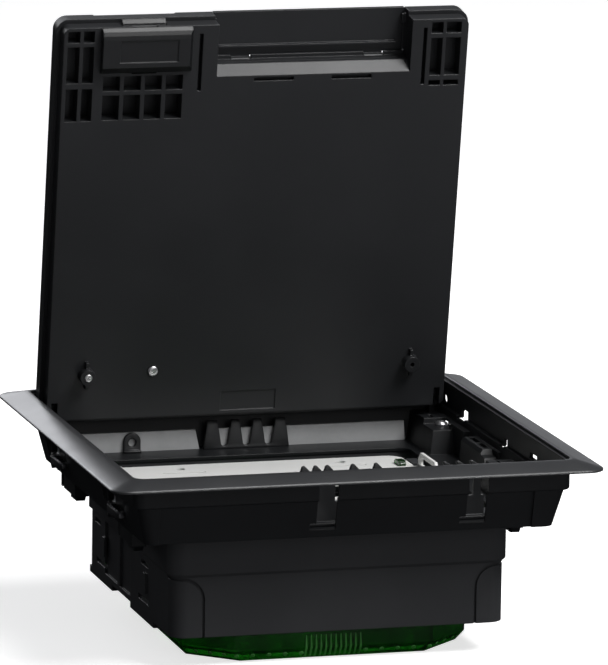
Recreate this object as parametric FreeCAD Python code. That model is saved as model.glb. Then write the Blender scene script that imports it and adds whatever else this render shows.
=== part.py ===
import FreeCAD, Part
import math
import os

# Floor socket box with its lid standing open.
# Millimetres, X right, Y to the back, Z up, origin at floor level in the middle of the flange.

os.makedirs("parts", exist_ok=True)
V = FreeCAD.Vector

# Flange and collar
collar_half = 88.4
flange_width = 11.1
flange_corner = 8.0
lip = 1.0
crest = 3.5
collar_wall = 1.4
collar_top = 2.3
collar_bottom = -8.8
collar_corner = 4.5
shelf = 1.0

# Skirt and ring plate below the collar
skirt_half_x = collar_half - 2.0
skirt_half_y = collar_half - 1.8
skirt_corner = 4.5
skirt_wall = 1.1
skirt_lean = 3.6
ring_bottom = -24.0
ring_plate = 1.6

# Tray and tub
tray_half_x = collar_half - 19.0
tray_front = -collar_half + 18.8
tray_back = collar_half - 21.8
tray_wall = 1.8
tray_bottom = -65.4
tray_step = -40.0
tub_half_x = tray_half_x - 10.9
tub_front = tray_front + 7.9
tub_back = tray_back - 8.6
tub_bottom = -78.0
tub_wall = 1.5
tub_cut_x = 17.8
tub_cut_y = 16.0

# Lid, drawn shut and then turned open about the hinge
lid_open = 80.84
cover_half = collar_half - collar_wall - 0.7
cover_corner = 5.3
lid_half = cover_half - 1.7
lid_corner = 3.0
hinge_y = cover_half - 6.55
hinge_z = -2.14
lid_back = hinge_y + 3.25
lid_face = -10.0
lid_split = -3.3
rear_round = 6.9
pin_radius = 1.5
pin_play = 0.05
ear_near = lid_half - 4.1
ear_far = ear_near + 2.0
ear_radius = 4.0
boss_x = lid_half - 15.7
boss_y = hinge_y - 16.5
plate_half = cover_half - 4.8
plate_back = hinge_y - 6.75
lid_screw_place = (-40.7, hinge_y - 16.85)
gap = 0.3

# Cable outlet in the lid
outlet_left = -20.5
outlet_right = 60.8
outlet_edge = -lid_half + 17.9
plate_front = outlet_edge + 6.2
flap_under = 1.9
flap_axis_y = outlet_edge + 1.1
flap_axis_z = 1.6
knuckle_radius = 1.6

# Latch
latch_left = -lid_half + 15.4
latch_right = latch_left + 37.4
latch_mid = latch_left + 18.2
latch_front = -lid_half
latch_back = latch_front + 18.9
latch_height = 4.0
latch_travel = 3.0
runner_back = latch_back - 2.5
spring_room = 12.0

# Rear wall
comb_left = -12.4

# Claws, for the rear right one
claw_x = collar_half - 7.8
claw_y = collar_half - 27.4
claw_shift = -93.0
claw_reach = 24.0
claw_hub = 4.2
claw_lift = 3.0
ledge_z = -12.9
hub_top = ledge_z - 1.6 - claw_lift
hub_bottom = hub_top - 3.5
screw_radius = 1.5
screw_head = 2.7

frame_half = collar_half + flange_width
ring_top = ring_bottom + ring_plate
collar_inside = collar_half - collar_wall
beyond = frame_half + 5.0
device_half = tray_half_x - 7.9
device_front = tray_front + 7.6
device_back = tray_back - 8.8
screw_place_x = device_half - 2.6
screw_rows = (device_front + 12.0, device_back - 11.8)
tray_mid_y = (tray_front + tray_back) / 2
tray_half_y = (tray_back - tray_front) / 2


def block(x0, x1, y0, y1, z0, z1):
    return Part.makeBox(x1 - x0, y1 - y0, z1 - z0, V(x0, y0, z0))


def pillar(x, y, z0, z1, radius):
    return Part.makeCylinder(radius, z1 - z0, V(x, y, z0), V(0, 0, 1))


def rod_x(x0, x1, y, z, radius):
    return Part.makeCylinder(radius, x1 - x0, V(x0, y, z), V(1, 0, 0))


def extrude(points, along):
    wire = Part.makePolygon(points + [points[0]])
    return Part.Face(wire).extrude(along)


def prism_x(points, x0, x1):
    return extrude([V(x0, y, z) for y, z in points], V(x1 - x0, 0, 0))


def prism_y(points, y0, y1):
    return extrude([V(x, y0, z) for x, z in points], V(0, y1 - y0, 0))


def prism_z(points, z0, z1):
    return extrude([V(x, y, z0) for x, y in points], V(0, 0, z1 - z0))


def rounded_wire(half_x, half_y, radius, z, mid_y=0.0):
    edges = []
    inset = radius * (1 - math.sqrt(0.5))
    last = None
    for sx, sy in ((1, 1), (-1, 1), (-1, -1), (1, -1)):
        on_side = V(sx * half_x, mid_y + sy * (half_y - radius), z)
        on_end = V(sx * (half_x - radius), mid_y + sy * half_y, z)
        middle = V(sx * (half_x - inset), mid_y + sy * (half_y - inset), z)
        start, end = (on_side, on_end) if sx * sy > 0 else (on_end, on_side)
        if last is None:
            first = start
        else:
            edges.append(Part.makeLine(last, start))
        edges.append(Part.Arc(start, middle, end).toShape())
        last = end
    edges.append(Part.makeLine(last, first))
    return Part.Wire(edges)


def rounded_block(half_x, half_y, radius, z0, z1, mid_y=0.0):
    face = Part.Face(rounded_wire(half_x, half_y, radius, z0, mid_y))
    return face.extrude(V(0, 0, z1 - z0))


def rounded_taper(low, high, z0, z1, mid_y=0.0):
    wires = [rounded_wire(*low, z0, mid_y), rounded_wire(*high, z1, mid_y)]
    return Part.makeLoft(wires, True, True)


def fuse(shapes):
    return shapes[0].multiFuse(shapes[1:]).removeSplitter()


def across(shape):
    return shape.mirror(V(0, 0, 0), V(1, 0, 0))


def both_sides(shapes):
    return shapes + [across(s) for s in shapes]


def save(name, shape):
    solids = shape.Solids
    body = solids[0] if len(solids) == 1 else Part.makeCompound(solids)
    print(name, len(solids), "solid", round(body.Volume), "mm3")
    body.exportStep("parts/" + name + ".step")


def trim_frame():
    edge = frame_half - 0.6
    inner = collar_half + 2.1
    body = fuse([
        rounded_block(frame_half, frame_half, flange_corner, 0, lip * 0.7),
        rounded_taper((frame_half, frame_half, flange_corner), (edge, edge, flange_corner - 0.6),
                      lip * 0.7, lip),
        rounded_taper((edge, edge, flange_corner - 0.6), (inner, inner, collar_corner),
                      lip, crest - 0.25),
        rounded_taper((inner, inner, collar_corner), (inner - 1.3, inner - 1.3, collar_corner - 0.6),
                      crest - 0.25, crest),
    ])
    bore = rounded_block(collar_half, collar_half, collar_corner, -1, crest + 1)
    return body.cut(bore)


def skirt_at(z, inset=0.0, extra_y=0.0):
    drop = skirt_lean * (collar_bottom - z) / (collar_bottom - ring_bottom)
    half_x = skirt_half_x - drop - inset
    half_y = skirt_half_y - drop - inset + extra_y
    return half_x, half_y, skirt_corner - inset


def skirt_solid(z0, z1, inset=0.0, extra_y=0.0):
    return rounded_taper(skirt_at(z0, inset, extra_y), skirt_at(z1, inset, extra_y), z0, z1)


def shell():
    rim = collar_half - 0.5
    outside = fuse([
        rounded_block(collar_half, collar_half, collar_corner, collar_bottom + 0.5, collar_top),
        rounded_taper((rim, rim, collar_corner - 0.5), (collar_half, collar_half, collar_corner),
                      collar_bottom, collar_bottom + 0.5),
        skirt_solid(ring_bottom, collar_bottom),
    ])
    inside = [
        rounded_block(collar_inside, collar_inside, collar_corner - collar_wall,
                      collar_bottom + shelf, collar_top + 1),
        skirt_solid(ring_top, collar_bottom + shelf + 0.01, skirt_wall),
        rounded_block(tray_half_x - 2.1, tray_half_y - 2.1, 6.0, ring_bottom - 1, ring_top + 1,
                      tray_mid_y),
    ]
    return outside.cut(inside)


def front_pillars():
    proud = skirt_solid(ring_bottom, collar_bottom, 0.0, 1.2)
    core = skirt_solid(ring_bottom - 1, collar_bottom + 1, 0.5)
    posts = []
    for x0, x1 in ((-beyond, 8.3 - skirt_half_x), (skirt_half_x - 13.2, beyond)):
        for end in (-1, 1):
            y0, y1 = sorted((end * (skirt_half_y - 12.6), end * beyond))
            posts.append(proud.common(block(x0, x1, y0, y1, ring_bottom, collar_bottom)).cut(core))
    return posts


def claw_housing():
    """Rear right tower with the wall that steps in behind the folded arm."""
    outer_x = skirt_at(lid_face - 0.5)[0] - 0.5
    tower = prism_y([(claw_x - 6.2, lid_face - 0.6), (outer_x, lid_face - 0.6),
                     (skirt_at(ring_top)[0] - 0.5, ring_top - 0.2), (claw_x - 8.6, ring_top - 0.2)],
                    claw_y - 13, claw_y + 12)
    tower = tower.cut([
        prism_x([(claw_y - 20, lid_face + 1), (claw_y + 4.5, lid_face + 1), (claw_y + 3.9, ledge_z),
                 (claw_y - 20, ledge_z)], claw_x - 10.6, claw_x + 2.8),
        prism_x([(claw_y - 14, ledge_z + 1), (claw_y - 10.2, ledge_z + 1), (claw_y - 10.2, ledge_z),
                 (claw_y - 13.1, ring_top), (claw_y - 14, ring_top)], claw_x - 10.6, claw_x + 9.4),
        block(claw_x - 2.6, claw_x - 1.4, claw_y + 6, claw_y + 11, lid_face - 1.4, lid_face),
    ])
    ends = skirt_solid(ring_bottom, lid_face - 0.5)
    step = ends.common(block(claw_x + 1.6, beyond, claw_y - claw_reach - 2, claw_y + 10.5,
                             ring_bottom, lid_face - 0.5))
    guide = fuse([
        block(claw_x - 6.1, claw_x - 0.4, claw_y - 20, claw_y + 3, ring_bottom - 7.6, ring_bottom),
        prism_x([(claw_y - 20, ring_bottom - 7.6), (claw_y - 8, ring_bottom - 7.6),
                 (claw_y - 9.5, ring_bottom - 9.6), (claw_y - 18.5, ring_bottom - 9.6)],
                claw_x - 5.1, claw_x - 1.4),
    ])
    return [tower, step, guide]


def claw_cuts():
    """Arm recess, hub room, screw hole and counterbore of the rear right claw."""
    return [
        block(claw_x + 2.8, beyond, claw_y - claw_reach - 1, claw_y + 9.5, ring_bottom - 1, lid_face - 1.6),
        block(claw_x - claw_hub - gap, claw_x + 3.9, claw_y - 6.2, claw_y + 6.2, ring_top, ledge_z - 1.2),
        pillar(claw_x, claw_y, ring_bottom - 12, lid_face, screw_radius + pin_play),
        pillar(claw_x, claw_y, ledge_z, lid_face, screw_head + gap),
        block(claw_x, claw_x + 2.8, claw_y - 4.0, claw_y + 3.6, ledge_z, lid_face),
    ]


def rear_tower():
    """Rear right tower carried on to the rear wall, low enough for the lid to swing over it."""
    top = lid_face - 1.1
    outer_x = skirt_at(top)[0] - 0.5
    tower = prism_y([(claw_x - 6.2, top), (outer_x, top), (skirt_at(ring_top)[0] - 0.5, ring_top - 0.2),
                     (claw_x - 8.6, ring_top - 0.2)], claw_y + 11, skirt_half_y)
    return tower.common(skirt_solid(ring_bottom, collar_bottom, 0.5))


def four_claws(shapes):
    every = []
    for shape in shapes:
        for shift in (0.0, claw_shift):
            moved = shape.translated(V(0, shift, 0))
            every += [moved, across(moved)]
    return every


def hinge_ear():
    stem = 2.2
    head = rod_x(ear_near, ear_far, hinge_y, hinge_z, ear_radius)
    post = block(ear_near, ear_far, hinge_y - stem, hinge_y + stem, -13, hinge_z)
    foot = prism_x([(hinge_y - 4.2, ring_top - 0.2), (skirt_at(ring_top)[1] - 0.5, ring_top - 0.2),
                    (skirt_at(-12)[1] - 0.5, -12), (hinge_y - stem, -12)],
                   ear_near - 0.5, ear_far - 0.9)
    bore = rod_x(ear_near - 1, ear_far + 1, hinge_y, hinge_z, pin_radius)
    return fuse([head, post, foot]).cut(bore)


def side_blocks():
    """Mid-side support block with a slotted top, right side."""
    body = prism_y([(claw_x - 0.9, lid_face - 0.6), (skirt_at(lid_face)[0] - 0.6, lid_face - 0.6),
                    (skirt_at(ring_top)[0] - 0.5, ring_top - 0.2), (claw_x - 3.4, ring_top - 0.2),
                    (claw_x - 2.2, lid_face - 2.0)], -7, 26)
    step = prism_x([(-8, lid_face), (1, lid_face), (1, lid_face - 0.6), (-0.4, lid_face - 2.6),
                    (-5.2, lid_face - 3.0), (-7, lid_face - 5.4), (-8, lid_face - 5.4)],
                   claw_x - 10.6, claw_x + 3.0)
    hollow = block(claw_x + 0.3, claw_x + 2.4, 3.5, 23.5, lid_face - 2.4, lid_face)
    bridge = block(claw_x - 0.3, claw_x + 3.0, 12.8, 14.4, lid_face - 3.0, lid_face - 0.6)
    return [fuse([body.cut([step, hollow]), bridge])]


def wall_windows():
    """Openings through the collar, right side."""
    inner = collar_inside - 2.1
    ends = (hinge_y - 3.75, hinge_y - 0.75)
    oval = fuse([block(inner - 4.9, beyond, ends[0], ends[1], -6.9, -3.3)] +
                [rod_x(inner - 4.9, beyond, y, -5.1, 1.8) for y in ends])
    slanted = prism_x([(45, -8.8), (54.5, -8.8), (54.5, -6.0), (52, -4.4), (45, -4.4)], inner - 4.9, beyond)
    slots = [block(inner - 4.9, beyond, -8.3, -3.5, -8.8, -5.2), block(inner, beyond, -47, -38, -6.2, -4.0)]
    return [oval, slanted] + slots


def front_slots():
    cuts = []
    for x in (-10.8, 50.1):
        cuts.append(block(x - 4, x + 4, -beyond, -collar_half + 8.4, -21, -1))
        cuts.append(block(x - 6.5, x - 3.9, -beyond, -collar_half + 8.4, -21, -18.4))
    return cuts


def keeper_rib():
    inner = collar_inside
    return prism_x([(-inner - 0.5, -5.0), (-inner + 1.3, -4.6), (-inner + 1.7, -4.2),
                    (-inner + 1.5, -3.8), (-inner - 0.5, -3.8)], latch_mid - 11, latch_mid + 11)


def ledge_ribs():
    """Short stiffening ribs between ring plate and front wall."""
    ribs = []
    wall = skirt_at(ring_top)[1] - 0.5
    points = [(5 - wall, ring_top - 0.2), (-wall, ring_top - 0.2), (-wall, ring_top + 5)]
    for x in (-66, -30, 20, 66):
        ribs.append(prism_x(points, x - 0.6, x + 0.6))
    return ribs


def device_posts():
    """Four screw posts on the ring plate's underside carry the device frame."""
    posts = []
    for y in screw_rows:
        post = fuse([
            block(screw_place_x - 2.4, tray_half_x, y - 4.5, y + 4.5, -38, ring_bottom - 1.8),
            block(device_half + 0.8, tray_half_x, y - 4.5, y + 4.5, -38, ring_bottom),
        ])
        posts.append(post.cut(pillar(screw_place_x, y, -36, ring_bottom, 1.2)))
    return posts


def support_frame():
    parts = [shell(), keeper_rib(), hinge_ear(), across(hinge_ear())]
    parts += front_pillars() + ledge_ribs()
    parts += four_claws(claw_housing())
    parts += both_sides(side_blocks() + [rear_tower()])
    body = fuse(parts)
    cuts = four_claws(claw_cuts()) + both_sides(wall_windows()) + front_slots()
    return body.cut(cuts).removeSplitter()


def tray_outline(half_x, front, back, radius, z0, z1):
    return rounded_block(half_x, (back - front) / 2, radius, z0, z1, (front + back) / 2)


def corner_arc(radius, y0, y1):
    """Quarter of a thin ring, upper left, that runs along Y."""
    outer = Part.makeCylinder(radius, y1 - y0, V(0, y0, 0), V(0, 1, 0))
    inner = Part.makeCylinder(radius - 1.0, y1 - y0 + 2, V(0, y0 - 1, 0), V(0, 1, 0))
    return outer.cut(inner).common(block(-radius - 1, 0, y0, y1, 0, radius + 1))


def tray_grooves():
    """Knock-out lines that wrap round the two front corners."""
    lines = []
    x_in = tray_half_x - 14.4
    front = tray_front - 12.4
    back = tray_front + 8.6
    top = -41.5
    radius = 9.0
    arch = fuse([
        block(x_in + radius, tray_half_x + 11.4, front, back, top - 1, top),
        block(x_in, x_in + 1, front, back - 1, tray_bottom - 1, top - radius),
        corner_arc(radius, front, back - 1).translated(V(x_in + radius, 0, top - radius)),
    ])
    keep = tray_outline(tray_half_x - 2.2, tray_front + 1.9, tray_back - 2.2, 5.0, -80, 0)
    lines.append(arch.cut(keep))
    return both_sides(lines)


def tray_side_relief():
    """Recessed bays and dark slots on the right flank."""
    wall = tray_half_x - 1.3
    cuts = []
    side = tray_half_x + 5
    for y0, y1 in ((-48.6, -28.6), (-69.6, -52.6)):
        cuts.append(block(wall - 0.9, side, tray_back + y0, tray_back + y1, -63, tray_step - 1.5))
    for y0, y1, z in ((-20.6, -11.6, -44.0), (-29.1, -14.6, -60.0)):
        cuts.append(block(wall - 5, side, tray_back + y0, tray_back + y1, z - 0.9, z + 0.9))
    for y0, y1, z in ((38.6, 49.6, -44.8), (37.6, 53.6, -59.6)):
        cuts.append(block(wall - 5, side, tray_front + y0, tray_front + y1, z - 0.9, z + 0.9))
    return both_sides(cuts)


def tray_body():
    low = tray_half_x - 1.3
    outside = fuse([
        tray_outline(tray_half_x, tray_front, tray_back, 7.0, tray_step, ring_bottom),
        tray_outline(low, tray_front + 0.9, tray_back - 0.9, 6.5, tray_bottom, tray_step),
        rounded_taper((low, tray_half_y - 0.9, 6.5), (tray_half_x, tray_half_y, 7.0),
                      tray_step - 1.2, tray_step, tray_mid_y),
    ])
    hollow = [
        tray_outline(tray_half_x - tray_wall, tray_front + tray_wall, tray_back - tray_wall, 5.5,
                     tray_step, ring_bottom + 1),
        tray_outline(low - tray_wall, tray_front + tray_wall + 0.9, tray_back - tray_wall - 0.9, 5.0,
                     tray_bottom + 1.8, tray_step + 1),
        rounded_block(tub_half_x - 9, tray_half_y - 18.1, 6, tray_bottom - 1, tray_bottom + 3),
    ]
    shell_body = outside.cut(hollow).cut(tray_grooves() + tray_side_relief())
    feet = []
    for y0, y1 in ((tray_back - 40.6, tray_back - 3.6), (tray_front + 29.6, tray_front + 66.6)):
        feet.append(block(low - 3.5, low, y0, y1, tray_bottom - 2.3, tray_bottom + 0.5))
        feet.append(block(low - 0.4, low + 0.9, (y0 + y1) / 2 - 8, (y0 + y1) / 2 - 5, -56, -48))
    posts = []
    for post in device_posts():
        posts += [post, across(post)]
    ribs = []
    for x in (17.5 - device_half, device_half - 17.5):
        for end, wall in ((-1, tray_front + 1.2), (1, tray_back - 1.2)):
            y0, y1 = sorted((wall, wall - end * 4.0))
            ribs.append(block(x - 0.9, x + 0.9, y0, y1, tray_bottom + 1, ring_bottom - 4))
    return fuse([shell_body] + both_sides(feet) + posts + ribs)


def tub_wire(inset, z):
    half = tub_half_x - inset
    front = tub_front + inset
    back = tub_back - inset
    flat = half - tub_cut_x
    points = [(half, front + tub_cut_y), (half, back - tub_cut_y), (flat, back), (-flat, back),
              (-half, back - tub_cut_y), (-half, front + tub_cut_y), (-flat, front), (flat, front)]
    corners = [V(x, y, z) for x, y in points]
    return Part.makePolygon(corners + [corners[0]])


def tub_solid(inset, bottom):
    bend = tub_bottom + 4.5
    upper = Part.Face(tub_wire(inset, bend)).extrude(V(0, 0, tray_bottom - bend))
    lower = Part.makeLoft([tub_wire(inset + 2.9, bottom), tub_wire(inset, bend)], True, True)
    return fuse([upper, lower])


def connection_tub():
    body = tub_solid(0.0, tub_bottom).cut(tub_solid(tub_wall, tub_bottom + tub_wall))
    grips = []
    for i in range(11):
        x = -10.5 + i * 2.02
        grips.append(block(x - 0.5, x + 0.5, tub_front - 0.8, tub_front + 0.6, -73.2, -68.7))
    pips = []
    pitch = (tub_half_x - tub_cut_x - 5.9) / 6
    for i in range(-6, 7):
        x = i * pitch
        pips.append(block(x - 0.8, x + 0.8, tub_front - 0.3, tub_front + 0.4, -67.4, -66.6))
    inner = []
    for x in (18.5 - tub_half_x, -13.0, 13.0, tub_half_x - 18.5):
        inner.append(block(x - 0.7, x + 0.7, tub_front + 15.7, tub_back - 14.0,
                           tub_bottom + 1.0, tub_bottom + 5.5))
    return fuse([body] + grips + pips + inner)


def tub_release_tab():
    z = ring_bottom
    back = device_back - 14.4
    front = back - 7.1
    return prism_x([(front, z), (back, z), (back, z + 1.2), (back - 1.4, z + 2), (front + 1.4, z + 2),
                    (front, z + 1.2)], device_half - 6.4, device_half - 3.4)


def device_frame():
    thick = 1.8
    z0 = ring_bottom - thick
    front = device_front
    back = device_back
    room = device_half - 16.0
    bar = (front + back) / 2 - 11.9
    body = rounded_block(device_half, (back - front) / 2, 7.0, z0, ring_bottom, (front + back) / 2)
    cuts = []
    lips = []
    for y0, y1 in ((bar, back - 25.8), (front + 4.5, bar - 4.5)):
        mid = (y0 + y1) / 2
        cuts.append(rounded_block(room, (y1 - y0) / 2, 1.5, z0 - 8, ring_bottom + 2, mid))
        lips.append(rounded_block(room + 1.2, (y1 - y0) / 2 + 1.2, 2.0, z0 - 4.5, z0 + 0.5, mid))
        for x in (-room - 4.5, room + 4.5):
            cuts.append(block(x - 1.1, x + 1.1, mid - 6, mid + 6, z0 - 1, ring_bottom + 1))
    for x in (-34.0, 34.0):
        cuts.append(block(x - 9, x + 9, back - 15.8, back - 14.2, z0 - 1, ring_bottom + 1))
        cuts.append(pillar(x, back - 7.8, z0 - 1, ring_bottom + 1, 2.1))
    for y in screw_rows:
        for x in (-screw_place_x, screw_place_x):
            cuts.append(pillar(x, y, z0 - 1, ring_bottom + 1, 1.2))
    y0 = back - 45.8
    y1 = back - 21.8
    outer = device_half + 2.9
    upstand = prism_x([(y0, z0), (y1, z0), (y1, ring_bottom + 3), (y1 - 3, ring_bottom + 6),
                       (y0 + 1.5, ring_bottom + 6), (y0, ring_bottom + 4.5)], outer - 1.3, outer)
    window = prism_x([(y0 + 3, ring_bottom + 1), (y1 - 3, ring_bottom + 1), (y1 - 3, ring_bottom + 2.4),
                      (y1 - 4.6, ring_bottom + 4.2), (y0 + 3, ring_bottom + 4.2)], outer - 2, outer + 1)
    upstand = fuse([upstand.cut(window), block(device_half - 1, outer, y0, y1, z0, ring_bottom)])
    return fuse([body] + lips + both_sides([upstand])).cut(cuts)


def cross_slot(x, y, z, reach, depth, up=1):
    z0, z1 = sorted((z - up * depth, z + up * 0.5))
    return [block(x - reach, x + reach, y - 0.3, y + 0.3, z0, z1),
            block(x - 0.3, x + 0.3, y - reach, y + reach, z0, z1)]


def device_frame_screws():
    screws = []
    for y in screw_rows:
        for x in (-screw_place_x, screw_place_x):
            head = Part.makeCone(2.3, 1.7, 1.3, V(x, y, ring_bottom), V(0, 0, 1))
            body = fuse([head, pillar(x, y, -35, ring_bottom, 1.2)])
            screws.append(body.cut(cross_slot(x, y, ring_bottom + 1.3, 1.2, 0.7)))
    return Part.makeCompound(screws)


def rear_rail(x0, x1, slant):
    """Flat strip whose right end is cut at a slant."""
    top = -14.2
    front = skirt_half_y - 7.1
    return prism_y([(x0, ring_top), (x1, ring_top), (x1 - slant, top), (x0 + 0.6, top),
                    (x0, top - 0.6)], front, front + 1.5)


def rear_cable_comb():
    pitch = 9.4
    left = comb_left
    top = lid_face - 0.5
    front = skirt_half_y - 9.1
    body = prism_y([(left - 4.2, ring_top), (left + 3 * pitch + 4.2, ring_top),
                    (left + 3 * pitch + 2.6, top), (left - 2.6, top)], front, front + 2.0)
    gaps = []
    for i in range(3):
        x = left + (i + 0.5) * pitch
        wide = 3.1
        narrow = 1.5
        floor = ring_top + 2.6
        gaps.append(prism_y([(x - narrow, floor), (x + narrow, floor), (x + wide, top + 1),
                             (x - wide, top + 1)], front - 5, front + 5))
        gaps.append(Part.makeCylinder(narrow, 10, V(x, front - 5, floor), V(0, 1, 0)))
    bevel = prism_x([(front - 0.5, top - 1.6), (front, top - 1.6), (front + 0.9, top),
                     (front + 0.9, top + 1), (front - 0.5, top + 1)], -40, 40)
    return body.cut(gaps + [bevel])


def front_cable_comb():
    y0 = tray_front - 0.3
    y1 = y0 + 1.2
    x0 = outlet_left + 2.5
    x1 = outlet_right - 2.8
    base = block(x0, x1, y0, y1, ring_top, -13)
    foot = block(x0, x1, y0 - 3, y1, ring_top, ring_top + 1.4)
    parts = [base, foot]
    tip = 1.5
    for x in [x0 + step for step in (2.0, 6.8, 11.6, 22.0, 31.5)]:
        parts.append(prism_y([(x - 1.6, -14), (x + 3.4, -14), (x + 3.4, tip - 3.0), (x + 0.7, tip - 0.2),
                              (x + 0.1, tip), (x - 0.6, tip - 0.3), (x - 1.6, tip - 3.0)], y0, y1))
    for x in (x1 - 13.0, x1 - 7.5, x1 - 2.0):
        parts.append(prism_y([(x - 2.4, -14), (x + 0.6, -14), (x + 0.6, tip - 3.0), (x - 3.2, tip - 0.6),
                              (x - 4.4, tip - 0.9), (x - 2.4, tip - 4.0)], y0, y1))
    return fuse(parts)


def earth_tab():
    x = -46.8
    back = skirt_half_y - 7.1
    front = back - 1.5
    plate = fuse([block(x - 3.6, x + 3.6, front, back, ring_top, -17.8),
                  Part.makeCylinder(3.6, 1.5, V(x, front, -17.8), V(0, 1, 0)),
                  block(x - 3.6, x + 3.6, front - 1.2, back, ring_top, ring_top + 1.0)])
    return plate.cut(Part.makeCylinder(1.6, 5, V(x, front - 2, -18.3), V(0, 1, 0)))


def claw_screws():
    z = ledge_z + 1.6
    head = pillar(claw_x, claw_y, ledge_z, z, screw_head)
    shaft = pillar(claw_x, claw_y, ring_bottom - 0.5, ledge_z, screw_radius)
    screw = fuse([head, shaft]).cut(cross_slot(claw_x, claw_y, z, 1.7, 0.8))
    return Part.makeCompound(four_claws([screw]))


def claw_nut():
    body = fuse([pillar(claw_x, claw_y, hub_bottom - gap, hub_top, 2.6),
                 pillar(claw_x, claw_y, hub_bottom - 1.1, hub_bottom - gap, 4.0)])
    return body.cut(pillar(claw_x, claw_y, hub_bottom - 3, hub_top + 1, screw_radius + pin_play))


def claw_arm():
    hub = pillar(claw_x, claw_y, hub_bottom, hub_top, claw_hub)
    neck = prism_z([(claw_x + 3.6, claw_y - 5.0), (claw_x + 6.2, claw_y - 6.0), (claw_x + 3.5, claw_y + 2.3),
                    (claw_x, claw_y), (claw_x + 2.2, claw_y - 3.57)], hub_bottom, hub_top)
    bar = prism_z([(claw_x + 3.6, claw_y - claw_reach), (claw_x + 5.8, claw_y - claw_reach),
                   (claw_x + 6.6, claw_y - claw_reach + 1.5), (claw_x + 6.6, claw_y - 7.0),
                   (claw_x + 5.6, claw_y - 5.0), (claw_x + 3.6, claw_y - 5.0)], hub_bottom - 1.5, hub_top + 0.3)
    teeth = []
    for i in range(4):
        y = claw_y - claw_reach + 2.5 + i * 3.4
        teeth.append(prism_x([(y, hub_top), (y + 2.2, hub_top), (y + 1.1, hub_top + 1.3)],
                             claw_x + 3.8, claw_x + 6.0))
    body = fuse([hub, neck, bar] + teeth)
    return body.cut(pillar(claw_x, claw_y, hub_bottom - 5, hub_top + 5, 2.68))


def hinge_pins():
    pin = rod_x(ear_near - 3.5, lid_half, hinge_y, hinge_z, pin_radius)
    return Part.makeCompound(both_sides([pin]))


def opened(shape):
    return shape.copy().rotate(V(0, hinge_y, hinge_z), V(1, 0, 0), -lid_open)


def hinge_slots():
    top = hinge_z + ear_radius + 0.35
    slot = block(ear_near - gap, ear_far + gap, hinge_y - ear_radius - 0.35, beyond, -20, top)
    bore = rod_x(ear_near - 3.8, beyond, hinge_y, hinge_z, pin_radius + pin_play)
    return both_sides([slot, bore])


def inner_pockets():
    """Shallow grids pressed into the lid's inner face."""
    z0 = lid_face - 1
    z1 = lid_split + 1
    cuts = []
    edge = -lid_half
    for i in range(4):
        x = latch_left + 1.5 + i * 8.7
        cuts.append(block(x, x + 7.0, edge + 20.6, edge + 26.7, z0, z1))
        cuts.append(block(x, x + 7.0, edge + 28.6, edge + 39.0, z0, z1))
    for x0, x1 in ((edge + 1.6, edge + 6.6), (edge + 8.1, edge + 12.6)):
        for y0, y1 in ((1.4, 6.1), (7.9, 23.1), (25.6, 39.2)):
            cuts.append(block(x0, x1, edge + y0, edge + y1, z0, z1))
    for x0, x1 in ((lid_half - 15.6, lid_half - 10.7), (lid_half - 9.3, lid_half - 3.0)):
        for y0, y1 in ((1.4, 6.0), (8.1, 23.9), (26.1, 28.2)):
            cuts.append(block(x0, x1, edge + y0, edge + y1, z0, z1))
    for x in (latch_right + 4.1, lid_half - 18.2):
        cuts.append(block(x - 0.8, x + 0.8, edge + 3.6, edge + 27.6, z0, lid_face + 4.0))
    cuts.append(block(-11.3, 12.0, lid_back - 10.0, lid_back - 1.6, z0, lid_face + 0.5))
    return cuts


def shares(start, end, count):
    step = (end - start) / count
    return [(start + i * step, start + (i + 1) * step) for i in range(count)]


def lightening(z0, z1, rows, columns, rib):
    """Hollows that leave a grid of ribs inside the lid."""
    cells = []
    for x0, x1 in columns:
        for y0, y1 in rows:
            cells.append(block(x0 + rib, x1 - rib, y0 + rib, y1 - rib, z0, z1))
    return cells


def latch_channel():
    back = runner_back + latch_travel + gap
    return [
        block(latch_mid - 5.0, latch_mid + 5.0, -beyond, back, lid_face - 1, -8.0),
        block(latch_mid - 9.3, latch_mid + 9.3, -beyond, back, -8.2, -4.8),
    ]


def outlet_cuts(z_top):
    edge = outlet_edge
    bevel = 4.0
    return prism_x([(-beyond, lid_face - 1), (edge + bevel + 1, lid_face - 1), (edge + bevel, lid_face),
                    (edge, lid_face + bevel), (edge, z_top), (-beyond, z_top)], outlet_left, outlet_right)


def lid_body():
    front = -lid_half
    mid = (front + lid_back) / 2
    body = rounded_block(lid_half, (lid_back - front) / 2, lid_corner, lid_face, lid_split, mid)
    reach = lid_half - 4.6
    cells = lightening(lid_face + 1.7, lid_split + 1, shares(outlet_edge + 23.7, lid_back - 9.0, 3),
                       shares(-reach, reach, 4), 0.8)
    boss = pillar(*lid_screw_place, lid_face, lid_split, 3.6)
    body = body.cut(cells)
    bosses = [boss]
    for x in (-boss_x, boss_x):
        bosses.append(pillar(x, boss_y, lid_face - 4.5, lid_face + 2, 3.3))
        bosses.append(block(x - 0.6, x + 0.6, boss_y - 5.75, boss_y + 5.75, lid_face - 2.5, lid_face + 1))
    body = fuse([body] + bosses)
    cuts = inner_pockets() + latch_channel() + hinge_slots() + [outlet_cuts(lid_split + 1)]
    for x, radius in ((-boss_x, 1.45), (boss_x, 0.9)):
        cuts.append(pillar(x, boss_y, lid_face - 5, lid_face - 1, radius))
    cuts.append(pillar(*lid_screw_place, lid_face - 1, lid_split + 1, 1.3))
    cuts.append(pillar(*lid_screw_place, lid_face - 1, lid_face + 0.9, 2.4))
    for x0, x1 in ((-4.8, 11.9), (27.8, 44.7)):
        cuts.append(block(x0, x1, outlet_edge + 4.8, outlet_edge + 6.3, lid_face - 1, lid_face + 2.4))
    return opened(body.cut(cuts))


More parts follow.
